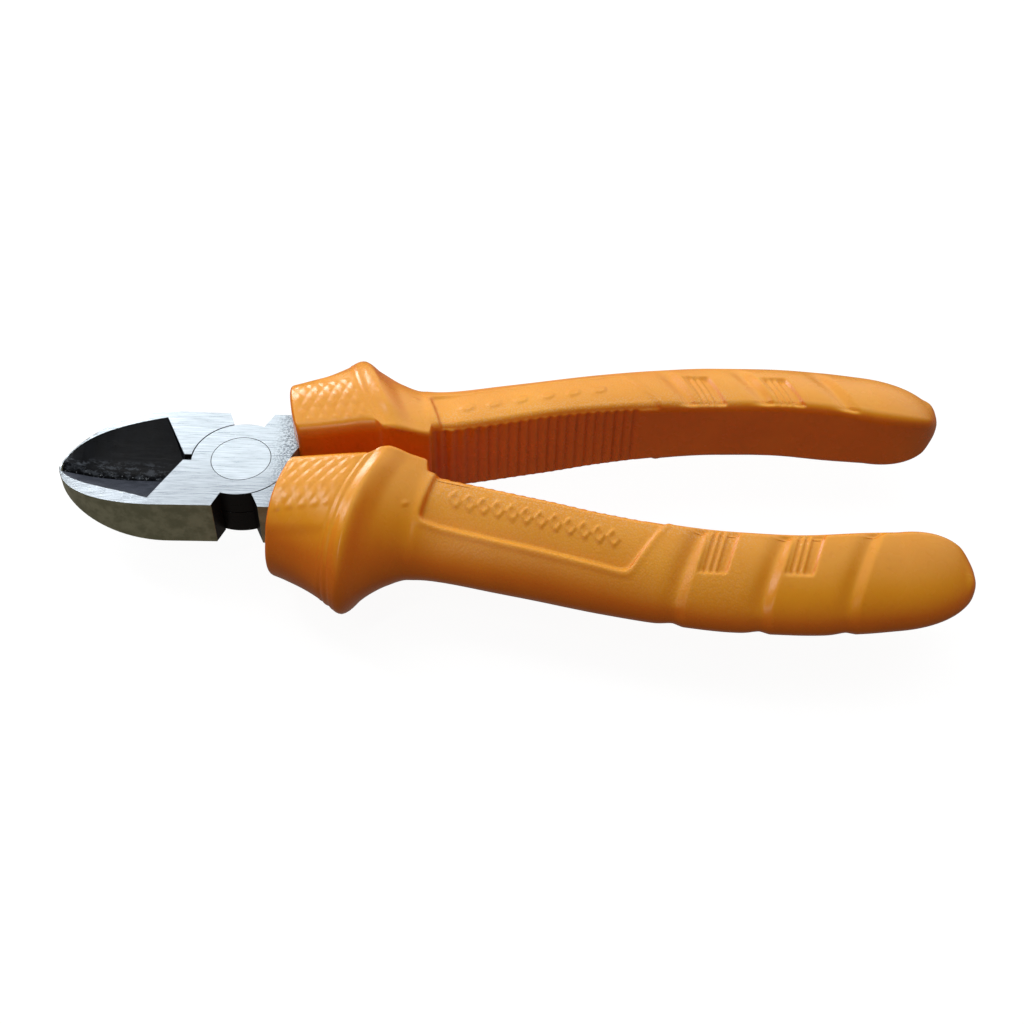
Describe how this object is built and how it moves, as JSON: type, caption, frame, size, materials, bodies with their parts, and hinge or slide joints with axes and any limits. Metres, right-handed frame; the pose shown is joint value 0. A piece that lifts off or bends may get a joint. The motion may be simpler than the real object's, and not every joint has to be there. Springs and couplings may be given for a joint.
{
  "type": "diagonal cutting pliers",
  "caption": "Lap-joint diagonal cutting pliers with ground side-cutting jaws, a flush pivot rivet and moulded guard grips.",
  "frame": {"origin": "centre of the pivot rivet's lower head, on the flat lower face of the head", "axes": "+X from the pivot towards the handle ends, +Y across the jaws, +Z along the pivot, from the lower face to the upper face"},
  "size_m": [0.1798, 0.0714, 0.0258],
  "materials": {
    "forged_steel": "ground and brushed faces, black oxide in the cutting hollow and on the sides",
    "rivet_steel": "ground flush with the head",
    "grip_orange": "satin moulded soft vinyl"
  },
  "bodies": {
    "upper_half": {"forged_half_upper": "forged_steel", "pivot_rivet": "rivet_steel", "grip_upper_half": "grip_orange"},
    "lower_half": {"forged_half_lower": "forged_steel", "grip_lower_half": "grip_orange"}
  },
  "joints": [
    {"name": "jaw_pivot", "type": "hinge", "parent": "upper_half", "child": "lower_half", "pos_m": [0, 0, 0.00525], "axis": [0, 0, -1], "range_deg": [0, 35]}
  ]
}
